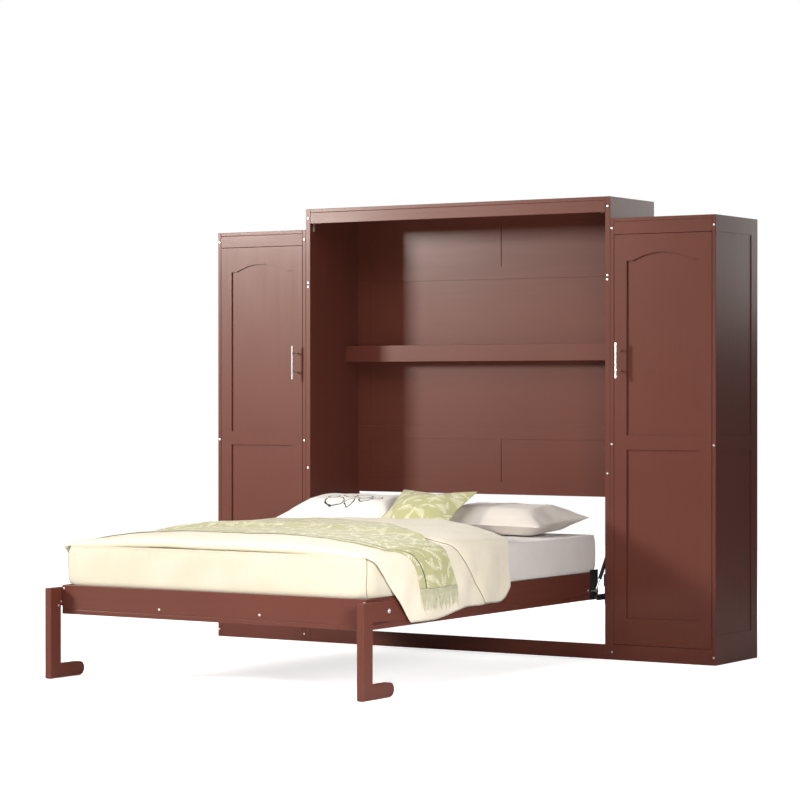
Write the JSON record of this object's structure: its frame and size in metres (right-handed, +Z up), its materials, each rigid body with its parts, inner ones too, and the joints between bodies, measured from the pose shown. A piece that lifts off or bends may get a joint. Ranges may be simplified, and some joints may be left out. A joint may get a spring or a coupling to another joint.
{
  "type": "murphy wall bed",
  "caption": "Wall bed that folds up between two wardrobes, with a display shelf in the bay, C-shaped legs at the foot, a mattress, and bedding.",
  "frame": {"origin": "on the floor, at the centre of the open unit's footprint", "axes": "+X along the wall to the right, +Y towards the wall, +Z up"},
  "size_m": [2.836, 2.538, 2.188],
  "materials": {
    "lacquered_wood": "smooth semi-gloss reddish-brown lacquer over board",
    "nickel": "satin nickel",
    "black_steel": "black powder coat",
    "polished_rod": "polished",
    "mattress_cover": "knitted cotton cover with quilted channels",
    "duvet_cotton": "washed cotton",
    "throw_cloth": "woven cloth with pale leaf print and fringe",
    "pillow_cotton": "plain cotton",
    "cushion_cloth": "woven cloth with pale leaf print"
  },
  "bodies": {
    "cabinet": {"left_side_panel": "lacquered_wood", "right_side_panel": "lacquered_wood", "top_board": "lacquered_wood", "top_fascia": "lacquered_wood", "base_rail": "lacquered_wood", "shelf": "lacquered_wood", "back_upper_board": "lacquered_wood", "back_middle_board": "lacquered_wood", "back_lower_board": "lacquered_wood", "left_wardrobe_inner_side": "lacquered_wood", "left_wardrobe_outer_side": "lacquered_wood", "left_wardrobe_top": "lacquered_wood", "left_wardrobe_fascia": "lacquered_wood", "left_wardrobe_shelf": "lacquered_wood", "left_wardrobe_floor": "lacquered_wood", "left_wardrobe_plinth": "lacquered_wood", "left_wardrobe_back": "lacquered_wood", "left_arm_plate": "black_steel", "left_strut_mount": "black_steel", "right_wardrobe_inner_side": "lacquered_wood", "right_wardrobe_outer_side": "lacquered_wood", "right_wardrobe_top": "lacquered_wood", "right_wardrobe_fascia": "lacquered_wood", "right_wardrobe_shelf": "lacquered_wood", "right_wardrobe_floor": "lacquered_wood", "right_wardrobe_plinth": "lacquered_wood", "right_wardrobe_back": "lacquered_wood", "right_arm_plate": "black_steel", "right_strut_mount": "black_steel"},
    "left_door": {"left_door_frame": "lacquered_wood", "left_door_upper_panel": "lacquered_wood", "left_door_lower_panel": "lacquered_wood", "left_door_handle": "nickel"},
    "right_door": {"right_door_frame": "lacquered_wood", "right_door_upper_panel": "lacquered_wood", "right_door_lower_panel": "lacquered_wood", "right_door_handle": "nickel"},
    "swing_arms": {"left_swing_arm": "black_steel", "right_swing_arm": "black_steel"},
    "bed": {"bed_face_panel": "lacquered_wood", "bed_foot_rail": "lacquered_wood", "bed_head_rail": "lacquered_wood", "bed_left_rail": "lacquered_wood", "bed_right_rail": "lacquered_wood", "bed_left_batten": "lacquered_wood", "bed_right_batten": "lacquered_wood", "left_bed_bracket": "black_steel", "right_bed_bracket": "black_steel", "mattress": "mattress_cover", "duvet": "duvet_cotton", "throw_blanket": "throw_cloth", "left_pillow": "pillow_cotton", "right_pillow": "pillow_cotton", "green_cushion": "cushion_cloth"},
    "legs": {"left_leg": "lacquered_wood", "right_leg": "lacquered_wood"},
    "strut_cylinders": {"left_strut_cylinder": "black_steel", "right_strut_cylinder": "black_steel"},
    "strut_rods": {"left_strut_rod": "polished_rod", "right_strut_rod": "polished_rod"}
  },
  "joints": [
    {"name": "left_door_hinge", "type": "hinge", "parent": "cabinet", "child": "left_door", "pos_m": [-1.3995, 0.811, 1.04], "axis": [0, 0, -1], "range_deg": [0, 105]},
    {"name": "right_door_hinge", "type": "hinge", "parent": "cabinet", "child": "right_door", "pos_m": [1.3995, 0.811, 1.04], "axis": [0, 0, 1], "range_deg": [0, 105]},
    {"name": "arm_swing", "type": "hinge", "parent": "cabinet", "child": "swing_arms", "pos_m": [0, 0.9807, 0.296], "axis": [1, 0, 0], "range_deg": [0, 45.65]},
    {"name": "bed_fold", "type": "hinge", "parent": "swing_arms", "child": "bed", "pos_m": [0, 0.761, 0.296], "axis": [-1, 0, 0], "range_deg": [0, 135.6]},
    {"name": "leg_turn", "type": "hinge", "parent": "bed", "child": "legs", "pos_m": [0, -1.076, 0.36], "axis": [1, 0, 0], "range_deg": [0, 90.05]},
    {"name": "strut_swing", "type": "hinge", "parent": "cabinet", "child": "strut_cylinders", "pos_m": [0, 1.053, 0.722], "axis": [1, 0, 0], "range_deg": [0, 17.32]},
    {"name": "strut_slide", "type": "slide", "parent": "strut_cylinders", "child": "strut_rods", "axis": [0, -0.5845, -0.8114], "range_m": [0, 0.13206]}
  ],
  "couplings": [
    {"joint": "arm_swing", "follows": "bed_fold", "ratio": 0.33628},
    {"joint": "leg_turn", "follows": "bed_fold", "ratio": 0.66372},
    {"joint": "strut_swing", "follows": "bed_fold", "ratio": 0.12739},
    {"joint": "strut_slide", "follows": "bed_fold", "m_per_rad": 0.055672}
  ]
}
